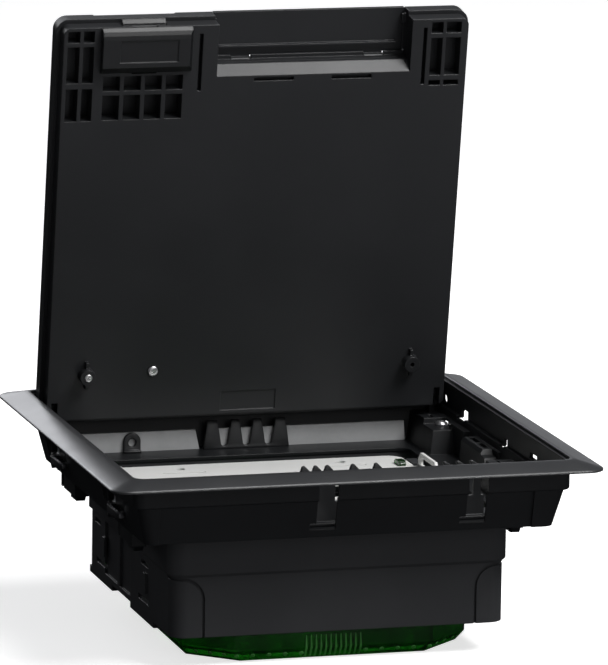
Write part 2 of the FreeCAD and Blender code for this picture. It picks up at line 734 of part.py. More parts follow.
def lid_cover():
    body = rounded_block(cover_half, cover_half, cover_corner, lid_split, crest)
    rear = rod_x(-beyond, beyond, hinge_y, hinge_z, rear_round)
    body = body.common(fuse([block(-beyond, beyond, -beyond, hinge_y, -20, 20), rear]))
    rim = fuse([
        rounded_taper((cover_half, cover_half, cover_corner),
                      (cover_half - 0.8, cover_half - 0.8, cover_corner - 0.8), crest - 0.8, crest),
        block(-beyond, beyond, -beyond, beyond, -20, crest - 0.8),
    ])
    body = body.common(rim)
    reach = lid_half - 4.6
    cuts = [block(-plate_half, plate_half, plate_front, plate_back, 0.2, crest + 1)]
    cuts += lightening(lid_split - 1, -1.2, shares(outlet_edge + 8.7, plate_back - 2.0, 3),
                       shares(-reach, reach, 4), 0.8)
    cuts += hinge_slots() + [outlet_cuts(crest + 1)]
    for x0, x1 in ((-12.3, -3.7), (43.7, 52.3)):
        cuts.append(block(x0, x1, flap_axis_y - 4.4, flap_axis_y + 1.9, -0.3, crest + 1))
        cuts.append(rod_x(x0 - 3.3, x1 + 3.3, flap_axis_y, flap_axis_z, 0.65))
    boss = pillar(*lid_screw_place, lid_split, 0.2, 3.6)
    stop = block(outlet_left - 0.5, outlet_right + 0.5, outlet_edge - 1.7, outlet_edge + 0.5,
                 0.2, flap_under - gap)
    for x0, x1 in ((-12.3, -3.7), (43.7, 52.3)):
        stop = stop.cut(block(x0, x1, outlet_edge - 5, outlet_edge + 1, -1, 3))
    y0 = -cover_half + 2.3
    nubs = [block(outlet_left - 0.5, outlet_left + 1.6, y0, y0 + 4, 0.2, flap_under - gap),
            block(outlet_right - 1.6, outlet_right + 0.5, y0, y0 + 4, 0.2, flap_under - gap)]
    grip = block(latch_left - 0.8, latch_left + 33.2, -beyond, -cover_half + 1.9, 1.6, crest + 1)
    body = fuse([body.cut(cuts), boss, stop] + nubs).cut([pillar(*lid_screw_place, -4, -1.0, 1.3), grip])
    return opened(body)


def lid_plate():
    half = plate_half - gap
    return opened(block(-half, half, plate_front + gap, plate_back - gap, 0.2, 1.2))


def lid_screw():
    x, y = lid_screw_place
    head = Part.makeCone(1.7, 2.3, 0.9, V(x, y, lid_face), V(0, 0, 1))
    shank = pillar(x, y, lid_face + 0.5, -1.2, 1.3)
    return opened(fuse([head, shank]).cut(cross_slot(x, y, lid_face, 1.2, 0.6, -1)))


def boss_insert():
    ring = pillar(-boss_x, boss_y, lid_face - 4.7, lid_face - 1, 1.45)
    return opened(ring.cut(pillar(-boss_x, boss_y, lid_face - 5, lid_face - 2, 0.6)))


def flap_pin():
    pins = [rod_x(x - 3.2, x + 11.8, flap_axis_y, flap_axis_z, 0.6) for x in (-12.3, 43.7)]
    return opened(Part.makeCompound(pins))


def cable_flap():
    plate = block(outlet_left + 0.5, outlet_right - 0.5, -cover_half, flap_axis_y - 2.3, flap_under, crest)
    rib = flap_axis_y - 6.8
    stiff = block(outlet_left + 3, outlet_right - 3, rib, rib + 1, flap_under - 1.6, flap_under + 0.2)
    knuckles = []
    cuts = []
    for x in (-12.0, 44.0):
        knuckles.append(rod_x(x, x + 8, flap_axis_y, flap_axis_z, knuckle_radius))
        knuckles.append(block(x, x + 8, flap_axis_y - 2.8, flap_axis_y, flap_under, 3.1))
        cuts.append(rod_x(x - 1, x + 9, flap_axis_y, flap_axis_z, 0.65))
    return opened(fuse([plate, stiff] + knuckles).cut(cuts))


def latch_slider():
    top = lid_face - gap
    low = lid_face - latch_height
    thumb = prism_x([(latch_front, top), (latch_front, low + 3.2), (latch_front + 1.0, low + 1.2),
                     (latch_front + 2.6, low + 0.3), (latch_front + 4.2, low), (latch_back - 3, low),
                     (latch_back, low + 3), (latch_back, top)], latch_left, latch_right)
    slant = prism_y([(latch_right - 2.2, low - 1), (latch_right + 1, low - 1), (latch_right + 1, low + 3)],
                    latch_front - 5, latch_back + 5)
    recess = block(latch_mid - 11.0, latch_mid + 13.0, latch_front + 4.8, latch_front + 13.8, low - 1, low + 0.5)
    neck = block(latch_mid - 4.7, latch_mid + 4.7, latch_front + 0.5, runner_back, top - 0.5, -7.8)
    runner = block(latch_mid - 9.0, latch_mid + 9.0, latch_front + 0.2, runner_back, -7.9, -5.1)
    tip = latch_front - 2.0
    tongue = prism_x([(latch_front + 0.6, -7.3), (tip + 1.4, -7.3), (tip, -5.9), (tip, -5.1),
                      (latch_front + 0.6, -5.1)], latch_mid - 9.0, latch_mid + 9.0)
    body = fuse([thumb.cut([slant, recess]), neck, runner, tongue])
    pocket = block(latch_mid - 1.4, latch_mid + 1.4, runner_back - spring_room, runner_back + 1, -9, -5.0)
    return opened(body.cut(pocket))


def latch_spring():
    """Square-wire coil drawn as a ruled run of wire sections."""
    start = runner_back - spring_room + 0.3
    length = spring_room + latch_travel - 0.4
    turns = 6
    steps = 12
    wire = 0.2
    sections = []
    for i in range(turns * steps + 1):
        angle = 2 * math.pi * i / steps
        y = start + wire + (length - 2 * wire) * i / (turns * steps)
        corners = []
        for dr, dy in ((-wire, -wire), (wire, -wire), (wire, wire), (-wire, wire)):
            radius = 1.05 + dr
            corners.append(V(latch_mid + radius * math.cos(angle), y + dy, -6.5 + radius * math.sin(angle)))
        sections.append(Part.makePolygon(corners + [corners[0]]))
    return opened(Part.makeLoft(sections, True, True))


save("trim_frame", trim_frame())
save("support_frame", support_frame())
save("tray_body", tray_body())
save("connection_tub", connection_tub())
save("tub_release_tab", tub_release_tab())
save("device_frame", device_frame())
save("device_frame_screws", device_frame_screws())
rail_end = skirt_half_x - 15.9
save("rear_rail_left", rear_rail(-rail_end, comb_left - 5.5, 1.8))
save("rear_rail_right", rear_rail(comb_left, rail_end, 0.6))
save("rear_cable_comb", rear_cable_comb())
save("front_cable_comb", front_cable_comb())
save("earth_tab", earth_tab())
save("claw_screws", claw_screws())
save("hinge_pins", hinge_pins())
for end, shift in (("rear", 0.0), ("front", claw_shift)):
    nut = claw_nut().translated(V(0, shift, 0))
    arm = claw_arm().translated(V(0, shift, 0))
    save("claw_nut_" + end + "_right", nut)
    save("claw_nut_" + end + "_left", across(nut))
    save("claw_arm_" + end + "_right", arm)
    save("claw_arm_" + end + "_left", across(arm))
save("lid_body", lid_body())
save("lid_cover", lid_cover())
save("lid_plate", lid_plate())
save("lid_screw", lid_screw())
save("boss_insert", boss_insert())
save("flap_pin", flap_pin())
save("cable_flap", cable_flap())
save("latch_slider", latch_slider())
save("latch_spring", latch_spring())
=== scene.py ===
import math
import bpy
import bmesh
from mathutils import Matrix, Vector


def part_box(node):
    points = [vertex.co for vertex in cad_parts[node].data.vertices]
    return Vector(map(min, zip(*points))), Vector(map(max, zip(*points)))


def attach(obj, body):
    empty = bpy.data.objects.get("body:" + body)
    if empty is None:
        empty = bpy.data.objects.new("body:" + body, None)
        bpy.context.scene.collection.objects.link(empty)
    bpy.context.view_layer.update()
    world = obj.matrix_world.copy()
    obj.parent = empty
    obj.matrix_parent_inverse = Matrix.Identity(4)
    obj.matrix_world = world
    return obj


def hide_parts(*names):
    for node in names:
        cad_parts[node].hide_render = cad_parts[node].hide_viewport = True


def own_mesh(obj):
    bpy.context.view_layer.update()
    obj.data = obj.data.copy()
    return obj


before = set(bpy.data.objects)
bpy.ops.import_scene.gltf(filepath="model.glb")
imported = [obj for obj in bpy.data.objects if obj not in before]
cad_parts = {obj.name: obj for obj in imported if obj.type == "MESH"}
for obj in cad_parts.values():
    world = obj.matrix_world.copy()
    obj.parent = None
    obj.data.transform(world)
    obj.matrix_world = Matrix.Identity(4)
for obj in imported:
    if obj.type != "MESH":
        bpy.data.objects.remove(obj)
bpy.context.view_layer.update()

MM = 0.001

# The lid, in millimetres as it lies shut
LID_OPEN = math.radians(80.84)
HINGE_Y = 79.75
HINGE_Z = -2.14
LID_FACE = -10.0
LID_SCREW_PLACE = (-40.7, HINGE_Y - 16.85)

# The flange and the floor under the box, in metres
FLANGE_CREST = 0.0884
FLANGE_EDGE = 0.0995
FLANGE_CROWN = -7.0
FLOOR_Z = -0.0782
FLOOR_HALF = 6.0

# The tub's outline and lower bevel, in millimetres
TUB_RIB_HEIGHT = 0.8
TUB_FLAT_HALF = 40.7
TUB_CUT_X = 17.8
TUB_CUT_Y = 16.0
TUB_BEVEL_IN = 2.9
TUB_BEVEL_HIGH = 4.5
GRIP_TOP = -68.2

# The main light, and the bright panel behind the left side
KEY_DIRECTION = (0.40, -0.46, 0.79)
KEY_DISTANCE = 1.8
BAND_HEIGHT = 0.30
BAND_WIDTH = 0.20
BAND_RIGHT_EDGE = 0.10
BAND_LEFT_EDGE = -0.28
ROOM_DIM = (0.085, 0.088, 0.094)
ROOM_PANEL = (3.4, 3.45, 3.6)
LOW_GLOW = 0.24

# What the floor sends back, to the eye, to the box and to gloss
FLOOR_PAINT = 0.78
FLOOR_GLOW = 0.70
FLOOR_BOUNCE = 0.22
# The floor's colour in gloss is painted shade close to the box and behind it, and paler ahead of it.
FLOOR_GLOSS_NEAR = (0.012, 0.012, 0.013)
FLOOR_GLOSS_AHEAD = (0.31, 0.31, 0.325)
FLOOR_AHEAD = -0.30


# Node helpers

class Value:
    """A socket, or a plain number, that joins other nodes by arithmetic."""

    def __init__(self, tree, socket):
        self.tree = tree
        self.socket = socket

    def join(self, operation, other, swapped=False, clamp=False):
        node = self.tree.nodes.new("ShaderNodeMath")
        node.operation = operation
        node.use_clamp = clamp
        pair = (other, self) if swapped else (self, other)
        for slot, item in zip(node.inputs, pair):
            if isinstance(item, Value):
                self.tree.links.new(item.socket, slot)
            elif item is not None:
                slot.default_value = item
        return Value(self.tree, node.outputs[0])

    def __add__(self, other):
        return self.join("ADD", other)

    def __radd__(self, other):
        return self.join("ADD", other, True)

    def __sub__(self, other):
        return self.join("SUBTRACT", other)

    def __rsub__(self, other):
        return self.join("SUBTRACT", other, True)

    def __mul__(self, other):
        return self.join("MULTIPLY", other)

    def __rmul__(self, other):
        return self.join("MULTIPLY", other, True)

    def __truediv__(self, other):
        return self.join("DIVIDE", other)

    def __pow__(self, other):
        return self.join("POWER", other)

    def clamped(self):
        return self.join("ADD", 0.0, clamp=True)

    def most(self, other):
        return self.join("MAXIMUM", other)

    def size(self):
        return self.join("ABSOLUTE", None)


class Finish:
    """One material, with its shader and a way to add nodes to it."""

    def __init__(self, name, colour, roughness, metallic=0.0, specular=0.5):
        self.material = bpy.data.materials.new(name)
        self.material.use_nodes = True
        self.tree = self.material.node_tree
        self.shader = self.tree.nodes["Principled BSDF"]
        self.shader.inputs["Base Color"].default_value = (*colour, 1.0)
        self.shader.inputs["Roughness"].default_value = roughness
        self.shader.inputs["Metallic"].default_value = metallic
        self.shader.inputs["Specular IOR Level"].default_value = specular
        self.place = self.node("ShaderNodeTexCoord").outputs["Object"]

    def node(self, kind, settings=None, **inputs):
        made = self.tree.nodes.new(kind)
        for key, value in (settings or {}).items():
            setattr(made, key, value)
        for key, value in inputs.items():
            slot = made.inputs[key.replace("_", " ")]
            self.feed(slot, value)
        return made

    def feed(self, slot, value):
        if isinstance(value, Value):
            self.tree.links.new(value.socket, slot)
        elif isinstance(value, bpy.types.NodeSocket):
            self.tree.links.new(value, slot)
        else:
            slot.default_value = value

    def set(self, name, value):
        self.feed(self.shader.inputs[name], value)

    def value(self, socket):
        return Value(self.tree, socket)

    def noise(self, scale, detail=3.0, roughness=0.5, stretch=None):
        """Soft random clouds, drawn out along an axis where a stretch is given."""
        where = self.place
        if stretch:
            where = self.node("ShaderNodeMapping", Vector=self.place, Scale=stretch).outputs[0]
        made = self.node("ShaderNodeTexNoise", Vector=where, Scale=scale, Detail=detail,
                         Roughness=roughness)
        return self.value(made.outputs["Fac"])

    def cells(self, scale):
        """Round grains, 0 in the middle of each."""
        made = self.node("ShaderNodeTexVoronoi", {"feature": "F1"}, Vector=self.place, Scale=scale)
        return self.value(made.outputs["Distance"])

    def ramp(self, value, low, high):
        """0 under low, 1 over high, and a soft step between."""
        made = self.node("ShaderNodeMapRange", {"interpolation_type": "SMOOTHSTEP"}, Value=value)
        made.inputs["From Min"].default_value = low
        made.inputs["From Max"].default_value = high
        return self.value(made.outputs["Result"])

    def mix(self, factor, first, second):
        """First colour at factor 0, second at 1."""
        made = self.node("ShaderNodeMix", {"data_type": "RGBA"})
        self.feed(made.inputs[0], factor)
        for slot, colour in ((made.inputs[6], first), (made.inputs[7], second)):
            self.feed(slot, (*colour, 1.0) if isinstance(colour, tuple) else colour)
        return made.outputs[2]

    def edges(self, radius):
        """1 along an outside or inside edge, 0 on the flats."""
        soft = self.node("ShaderNodeBevel", {"samples": 4}, Radius=radius).outputs[0]
        hard = self.node("ShaderNodeNewGeometry").outputs["Normal"]
        dot = self.node("ShaderNodeVectorMath", {"operation": "DOT_PRODUCT"})
        self.tree.links.new(soft, dot.inputs[0])
        self.tree.links.new(hard, dot.inputs[1])
        return (1.0 - self.value(dot.outputs["Value"])).clamped()

    def bump(self, height, strength, distance, radius=0.0, crown=None):
        """Fine relief over softened edges, and over a broad crown where one is given."""
        made = self.node("ShaderNodeBump", Height=height, Strength=strength, Distance=distance)
        under = None
        if radius:
            under = self.node("ShaderNodeBevel", {"samples": 4}, Radius=radius).outputs[0]
            self.tree.links.new(under, made.inputs["Normal"])
        if crown is not None:
            broad = self.node("ShaderNodeBump", Height=crown, Strength=1.0, Distance=1.0)
            if under is not None:
                self.tree.links.new(under, broad.inputs["Normal"])
            self.tree.links.new(broad.outputs[0], made.inputs["Normal"])
        self.set("Normal", made.outputs[0])

    def axes(self):
        """The three parts of the place on the object, in metres."""
        split = self.node("ShaderNodeSeparateXYZ", Vector=self.place)
        return [self.value(split.outputs[i]) for i in range(3)]


# Finishes

GRAIN_DEPTH = 0.00006
FINE_DEPTH = 0.00004
RIPPLE_DEPTH = 0.0006
SOFT_EDGE = 0.0007


def flange_crown(f):
    """Height of the flange's slight crown, from its crest to its outer edge, rounded at the corners."""
    x, y, z = f.axes()
    squareness = 24.0
    grow = 10.0
    sides = (x.size() * grow) ** squareness + (y.size() * grow) ** squareness
    reach = (sides ** (1 / squareness)) * (1 / grow)
    middle = (FLANGE_CREST + FLANGE_EDGE) / 2
    return (reach - middle) * (reach - middle) * FLANGE_CROWN


def moulded_plastic(name, dark, light, worn_and_highlit, roughness, specular, grain=1400.0, depth=0.25,
                    edge=0.0006, crowned=False):
    """Dark moulded plastic: fine grain, faint cloudiness, and paler edges that are partly wear and partly
    a painted highlight.
    """
    f = Finish(name, dark, roughness, 0.0, specular)
    haze = f.ramp(f.noise(scale=22.0, detail=4.0, roughness=0.55), low=0.35, high=0.7)
    edge_patchiness = 0.55 + f.noise(scale=160.0) * 0.9
    # The paler colour along the edges is partly wear and partly a painted highlight.
    rubbed_and_highlit = f.ramp(f.edges(edge) * edge_patchiness, low=0.06, high=0.42)
    tint = f.mix(haze, dark, light)
    f.set("Base Color", f.mix(rubbed_and_highlit * 0.75, tint, worn_and_highlit))
    specks = f.ramp(f.noise(scale=900.0, detail=2.0), low=0.66, high=0.8)
    blotches = f.noise(scale=60.0, detail=4.0) * 0.10 + (roughness - 0.05)
    f.set("Roughness", (blotches - rubbed_and_highlit * 0.06 + specks * 0.05).clamped())
    pits = f.cells(grain) * 0.6 + f.noise(scale=grain * 1.7, detail=2.0) * 0.4
    f.bump(pits, depth, GRAIN_DEPTH, edge, flange_crown(f) if crowned else None)
    return f.material


def pale_plastic(name, colour, shade):
    """Light moulded plastic with faint flow marks, which lets a little light in."""
    f = Finish(name, colour, 0.42, 0.0, 0.4)
    flow = f.noise(scale=14.0, detail=4.0, stretch=(1.0, 2.6, 1.0))
    edge = f.ramp(f.edges(SOFT_EDGE), low=0.05, high=0.5)
    f.set("Base Color", f.mix(f.ramp(flow, low=0.3, high=0.75) * 0.6 + edge * 0.15, colour, shade))
    f.set("Roughness", f.noise(scale=90.0) * 0.14 + 0.36)
    f.bump(f.noise(scale=1500.0, detail=2.0), 0.12, FINE_DEPTH, SOFT_EDGE)
    f.shader.inputs["Subsurface Weight"].default_value = 0.04
    f.shader.inputs["Subsurface Radius"].default_value = (0.002, 0.0018, 0.0016)
    return f.material


def green_tint(name, thick, thin, rim, clearness):
    """Clear green plastic: deep where it is thick, streaked inside, and with a painted highlight along
    its edges.
    """
    f = Finish(name, thin, 0.10, 0.0, 0.5)
    depth = f.ramp(f.noise(46.0, 4.0, 0.6, stretch=(1.0, 1.0, 0.5)), low=0.32, high=0.68)
    streaks = f.ramp(f.noise(260.0, 3.0, 0.6, stretch=(1.0, 0.4, 0.22)), low=0.52, high=0.74)
    edge = f.ramp(f.edges(SOFT_EDGE), low=0.04, high=0.4)
    inner = f.mix((depth * 0.7 + streaks * 0.5).clamped(), thick, thin)
    # The rim colour along the edges is a painted highlight, standing in for light scattered in the clear
    # plastic.
    f.set("Base Color", f.mix(edge * 0.8, inner, rim))
    f.set("Roughness", f.noise(scale=120.0) * 0.10 + 0.05)
    f.shader.inputs["Transmission Weight"].default_value = clearness
    f.shader.inputs["IOR"].default_value = 1.49
    ripples = f.noise(240.0, 3.0, 0.55, stretch=(1.0, 1.0, 0.5))
    f.bump(ripples, 0.5, RIPPLE_DEPTH, 0.0005)
    return f.material


def zinc_steel(name, colour, roughness, stretch=(1.0, 1.0, 1.0), dirt=0.35, metal=1.0):
    """Plated steel with fine drawing lines, duller clouds and a painted highlight along its edges."""
    f = Finish(name, colour, roughness, metal, 0.5)
    clouds = f.noise(scale=85.0, detail=4.0, roughness=0.6)
    lines = f.noise(scale=700.0, detail=2.0, stretch=stretch)
    edge = f.ramp(f.edges(0.0003), low=0.05, high=0.5)
    dull = tuple(c * 0.62 for c in colour)
    bright = tuple(min(1.0, c * 1.25) for c in colour)
    base = f.mix(f.ramp(clouds, low=0.35, high=0.72) * dirt, colour, dull)
    # The brighter colour along the edges is a painted highlight.
    f.set("Base Color", f.mix(edge * 0.6, base, bright))
    f.set("Roughness", (lines * 0.16 + clouds * (dirt * 0.3) + (roughness - 0.10)).clamped())
    f.bump(lines, 0.12, FINE_DEPTH, 0.0002)
    return f.material


def claw_finish(name):
    """Blued sheet steel, bright along its cut edges, where the colour is partly wear and partly a painted
    glint.
    """
    blued, stained, bare_and_glint = (0.11, 0.11, 0.115), (0.05, 0.05, 0.053), (0.92, 0.92, 0.93)
    f = Finish(name, blued, 0.36, 0.9, 0.5)
    edge_patchiness = 0.7 + f.noise(scale=420.0) * 0.6
    rubbed_and_highlit = f.ramp(f.edges(0.0009) * edge_patchiness, low=0.10, high=0.45)
    stain = f.ramp(f.noise(scale=130.0, detail=4.0, roughness=0.6), low=0.4, high=0.72)
    # The near-white edge colour is partly steel showing through and partly a painted glint.
    f.set("Base Color", f.mix(rubbed_and_highlit, f.mix(stain * 0.7, blued, stained), bare_and_glint))
    f.set("Roughness", (f.noise(scale=600.0, detail=2.0) * 0.14 + 0.26 - rubbed_and_highlit * 0.06).clamped())
    f.bump(f.noise(scale=900.0, detail=2.0), 0.15, FINE_DEPTH, 0.0003)
    return f.material


black_grain = moulded_plastic("black_grained_plastic", (0.0066, 0.0073, 0.0082), (0.0094, 0.0100, 0.0111),
                              (0.040, 0.041, 0.043), 0.44, 0.21)
black_lid = moulded_plastic("black_lid_plastic", (0.0125, 0.0132, 0.0145), (0.0155, 0.0162, 0.0177),
                            (0.046, 0.047, 0.050), 0.40, 0.36, 1700.0, 0.16)
black_latch = moulded_plastic("black_latch_plastic", (0.0050, 0.0054, 0.0060), (0.0072, 0.0077, 0.0084),
                              (0.050, 0.051, 0.054), 0.36, 0.42, 1700.0, 0.14)
black_tray = moulded_plastic("black_tray_plastic", (0.0340, 0.0348, 0.0372), (0.0405, 0.0413, 0.0440),
                             (0.044, 0.044, 0.046), 0.48, 0.20, 1100.0, 0.2)
black_flange = moulded_plastic("black_flange_plastic", (0.0240, 0.0247, 0.0265), (0.0285, 0.0292, 0.0310),
                               (0.062, 0.063, 0.066), 0.31, 0.5, 1900.0, 0.10, 0.0007, True)
black_small = moulded_plastic("black_small_parts", (0.0125, 0.0130, 0.0140), (0.0165, 0.0172, 0.0182),
                              (0.075, 0.076, 0.078), 0.40, 0.4, 1800.0, 0.14)
off_white = pale_plastic("off_white_frame_plastic", (0.70, 0.70, 0.685), (0.64, 0.64, 0.625))
clear_green = green_tint("clear_green_plastic", (0.002, 0.070, 0.002), (0.014, 0.250, 0.011),
                         (0.22, 0.78, 0.18), 0.86)
# The ribs and pips are the tub's own green plastic; this paler, less clear copy of it is a painted
# highlight on them.
highlit_green = green_tint("highlit_green_rib_plastic", (0.05, 0.32, 0.045), (0.13, 0.50, 0.11),
                         (0.45, 0.85, 0.40), 0.25)
rail_grey = zinc_steel("rail_zinc", (0.47, 0.475, 0.48), 0.55, (30.0, 1.0, 1.0), 0.3, 0.45)
plate_steel = zinc_steel("lid_plate_steel", (0.46, 0.46, 0.47), 0.40, (1.0, 22.0, 22.0), 0.10)
bright_steel = zinc_steel("bright_screw_steel", (0.80, 0.80, 0.81), 0.30, (1.0, 1.0, 1.0), 0.25)
claw_steel = claw_finish("claw_steel")

node_finish = {
    "trim_frame": black_flange,
    "support_frame": black_grain,
    "tray_body": black_tray,
    "connection_tub": clear_green,
    "tub_release_tab": clear_green,
    "device_frame": off_white,
    "rear_cable_comb": black_small,
    "front_cable_comb": black_small,
    "earth_tab": black_small,
    "rear_rail_left": rail_grey,
    "rear_rail_right": rail_grey,
    "lid_body": black_lid,
    "lid_cover": black_lid,
    "cable_flap": black_lid,
    "latch_slider": black_latch,
    "lid_plate": plate_steel,
    "flap_pin": black_small,
}
for node_name, node_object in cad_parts.items():
    finish = node_finish.get(node_name, bright_steel)
    if node_name.startswith("claw_arm"):
        finish = claw_steel
    node_object.data.materials.clear()
    node_object.data.materials.append(finish)


# Modelling helpers

def lid_turn():
    """Turns what is drawn in the closed lid to where the open lid stands."""
    hinge = Vector((0, HINGE_Y, HINGE_Z)) * MM
    return Matrix.Translation(hinge) @ Matrix.Rotation(-LID_OPEN, 4, "X") @ Matrix.Translation(-hinge)


def nothing_selected():
    bpy.ops.object.select_all(action="DESELECT")


def edit_mode():
    bpy.ops.object.mode_set(mode="EDIT")


def object_mode():
    bpy.ops.object.mode_set(mode="OBJECT")


def pick_faces(wanted):
    """In edit mode, selects the faces whose middle and normal pass the test."""
    bpy.ops.mesh.select_all(action="DESELECT")
    sheet = bmesh.from_edit_mesh(bpy.context.object.data)
    for face in [f for f in sheet.faces if wanted(f.calc_center_median(), f.normal)]:
        face.select_set(True)
    sheet.select_flush_mode()
    bmesh.update_edit_mesh(bpy.context.object.data)


def new_block(name, low, high):
    """A block between two corners in millimetres, with its place in its mesh."""
    nothing_selected()
    middle = [(a + b) / 2 * MM for a, b in zip(low, high)]
    size = [(b - a) * MM for a, b in zip(low, high)]
    bpy.ops.mesh.primitive_cube_add(size=1, location=middle, scale=size)
    return settled(name)


def new_drum(name, radius, low, high, sides=32):
    """An upright round bar on the origin's axis."""
    nothing_selected()
    bpy.ops.mesh.primitive_cylinder_add(vertices=sides, radius=radius * MM, depth=(high - low) * MM,
                                        location=(0, 0, (low + high) / 2 * MM))
    return settled(name)


def settled(name):
    """Names the new piece and puts its place, turn and size into its mesh."""
    piece = bpy.context.object
    piece.name = name
    piece.data.name = name
    bpy.ops.object.transform_apply(location=True, rotation=True, scale=True)
    return piece


def apply_modifier(piece, kind, **settings):
    """Adds one modifier to the piece and applies it at once."""
    nothing_selected()
    piece.select_set(True)
    bpy.context.view_layer.objects.active = piece
    made = piece.modifiers.new(kind.lower(), kind)
    for key, value in settings.items():
        setattr(made, key, value)
    bpy.ops.object.modifier_apply(modifier=made.name)


def eased(piece, width, segments=2, limit=30):
    """Small rounded edges, then smooth shading up to the same angle."""
    apply_modifier(piece, "BEVEL", width=width * MM, segments=segments, limit_method="ANGLE",
                   angle_limit=math.radians(limit))
    bpy.ops.object.shade_smooth_by_angle(angle=math.radians(limit + 5))


def carve(piece, cutter):
    """Cuts the cutter's shape out of the piece, and removes the cutter."""
    apply_modifier(piece, "BOOLEAN", operation="DIFFERENCE", object=cutter, solver="EXACT")
    bpy.data.objects.remove(cutter)


def copy_at(piece, name, matrix):
    """A copy with its own mesh, moved by the matrix."""
    twin = piece.copy()
    twin.data = piece.data.copy()
    twin.name = name
    twin.data.name = name
    twin.data.transform(matrix)
    bpy.context.scene.collection.objects.link(twin)
    return twin


def joined(name, parts):
    """All the parts as one piece."""
    nothing_selected()
    for part in parts:
        part.select_set(True)
    bpy.context.view_layer.objects.active = parts[0]
    if len(parts) > 1:
        bpy.ops.object.join()
    parts[0].name = name
    parts[0].data.name = name
    return parts[0]


def at(x, y, z):
    """A move by millimetres."""
    return Matrix.Translation(Vector((x, y, z)) * MM)


def hand_over(piece, body, finish, slot, *nodes):
    """Gives the piece its finish and the body that it rides on, and hides the nodes that it stands for.
    """
    piece.data.materials.clear()
    piece.data.materials.append(finish)
    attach(piece, body)
    if nodes:
        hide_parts(*nodes)


def softened_copy(node, name, width):
    """The node's own shape with real rounded edges instead of sharp ones."""
    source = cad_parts[node]
    nothing_selected()
    piece = source.copy()
    piece.data = source.data.copy()
    piece.parent = None
    piece.matrix_world = Matrix.Identity(4)
    piece.name = name
    piece.data.name = name
    bpy.context.scene.collection.objects.link(piece)
    piece.select_set(True)
    bpy.context.view_layer.objects.active = piece
    edit_mode()
    bpy.ops.mesh.select_all(action="SELECT")
    bpy.ops.mesh.remove_doubles(threshold=0.000004)
    bpy.ops.mesh.dissolve_limited(angle_limit=math.radians(1.5))
    object_mode()
    eased(piece, width, 2, 34)
    return piece


# Combs, tab and claws

def cable_combs():
    """Both combs with slightly rounded teeth."""
    for node, name in (("rear_cable_comb", "rear_comb_teeth"), ("front_cable_comb", "front_comb_teeth")):
        hand_over(softened_copy(node, name, 0.18), "box", black_small, "black_plastic", node)


def earth_tab_plate():
    """The earth tab with rounded edges."""
    hand_over(softened_copy("earth_tab", "earth_tab_plate", 0.25), "box", black_small, "black_plastic",
              "earth_tab")


def claw_blades():
    """Each swinging arm with rounded edges, its tip drawn down thin."""
    for end in ("front", "rear"):
        for side in ("left", "right"):
            node = "claw_arm_%s_%s" % (end, side)
            low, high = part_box(node)
            piece = softened_copy(node, "claw_blade_%s_%s" % (end, side), 0.18)
            edit_mode()
            for reach, thinner in ((13, 0.62), (3.5, 0.72)):
                pick_faces(lambda middle, normal: middle.y < low[1] + reach * MM)
                bpy.ops.transform.resize(value=(1, 1, thinner), center_override=(0, 0, high[2]))
            object_mode()
            hand_over(piece, "arm_%s_%s" % (end, side), claw_steel, "steel", node)


# Screws and inserts

def cross_head_screw(name, radius, height, shank, length, recess):
    """Pan head drawn up in three steps, a cross recess, and a shank under it."""
    screw = new_drum(name, radius, 0, height * 0.4, 40)
    edit_mode()
    pick_faces(lambda middle, normal: normal.z > 0.9)
    for step, rise in ((0.14, 0.30), (0.22, 0.20), (0.24, 0.10)):
        bpy.ops.mesh.inset(thickness=radius * step * MM)
        bpy.ops.transform.translate(value=(0, 0, height * rise * MM))
    pick_faces(lambda middle, normal: normal.z < -0.9)
    bpy.ops.mesh.inset(thickness=(radius - shank) * MM)
    bpy.ops.mesh.extrude_region_move(TRANSFORM_OT_translate={"value": (0, 0, -length * MM)})
    object_mode()
    for long_x, long_y in ((recess, recess * 0.2), (recess * 0.2, recess)):
        wing = new_block("recess_wing", (-long_x, -long_y, height * 0.25), (long_x, long_y, height * 2))
        edit_mode()
        pick_faces(lambda middle, normal: normal.z < -0.9)
        bpy.ops.transform.resize(value=(0.6, 0.6, 1), center_override=(0, 0, 0))
        object_mode()
        carve(screw, wing)
    eased(screw, 0.06)
    return screw


def lid_face_screw():
    """The one screw in the lid's inner face, its head towards the room."""
    screw = cross_head_screw("lid_cross_screw", radius=2.15, height=0.9, shank=1.2, length=7.5,
                             recess=1.35)
    face_down = at(*LID_SCREW_PLACE, LID_FACE) @ Matrix.Rotation(math.pi, 4, "X")
    cross_turn = Matrix.Rotation(math.radians(24), 4, "Z")
    screw.data.transform(lid_turn() @ face_down @ cross_turn)
    hand_over(screw, "lid", bright_steel, "steel", "lid_screw")


def boss_sleeve():
    """Turned insert in the left lid boss: a domed rim round a blind hole."""
    low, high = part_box("boss_insert")
    middle = Vector((low[i] + high[i]) / 2 for i in range(3))
    radius, half_length, hole_depth = 1.62, 1.85, 1.2
    sleeve = new_drum("boss_sleeve", radius, -half_length, half_length, 36)
    edit_mode()
    pick_faces(lambda middle, normal: normal.z > 0.9)
    bpy.ops.mesh.inset(thickness=0.22 * MM)
    bpy.ops.transform.translate(value=(0, 0, 0.16 * MM))
    bpy.ops.mesh.inset(thickness=0.62 * MM)
    bpy.ops.transform.translate(value=(0, 0, 0.06 * MM))
    bpy.ops.mesh.inset(thickness=0.14 * MM)
    bpy.ops.mesh.extrude_region_move(TRANSFORM_OT_translate={"value": (0, 0, -hole_depth * MM)})
    object_mode()
    eased(sleeve, 0.05)
    facing = Matrix.Rotation(-LID_OPEN, 4, "X") @ Matrix.Rotation(math.pi, 4, "X")
    sleeve.data.transform(Matrix.Translation(middle) @ facing)
    hand_over(sleeve, "lid", bright_steel, "steel", "boss_insert")


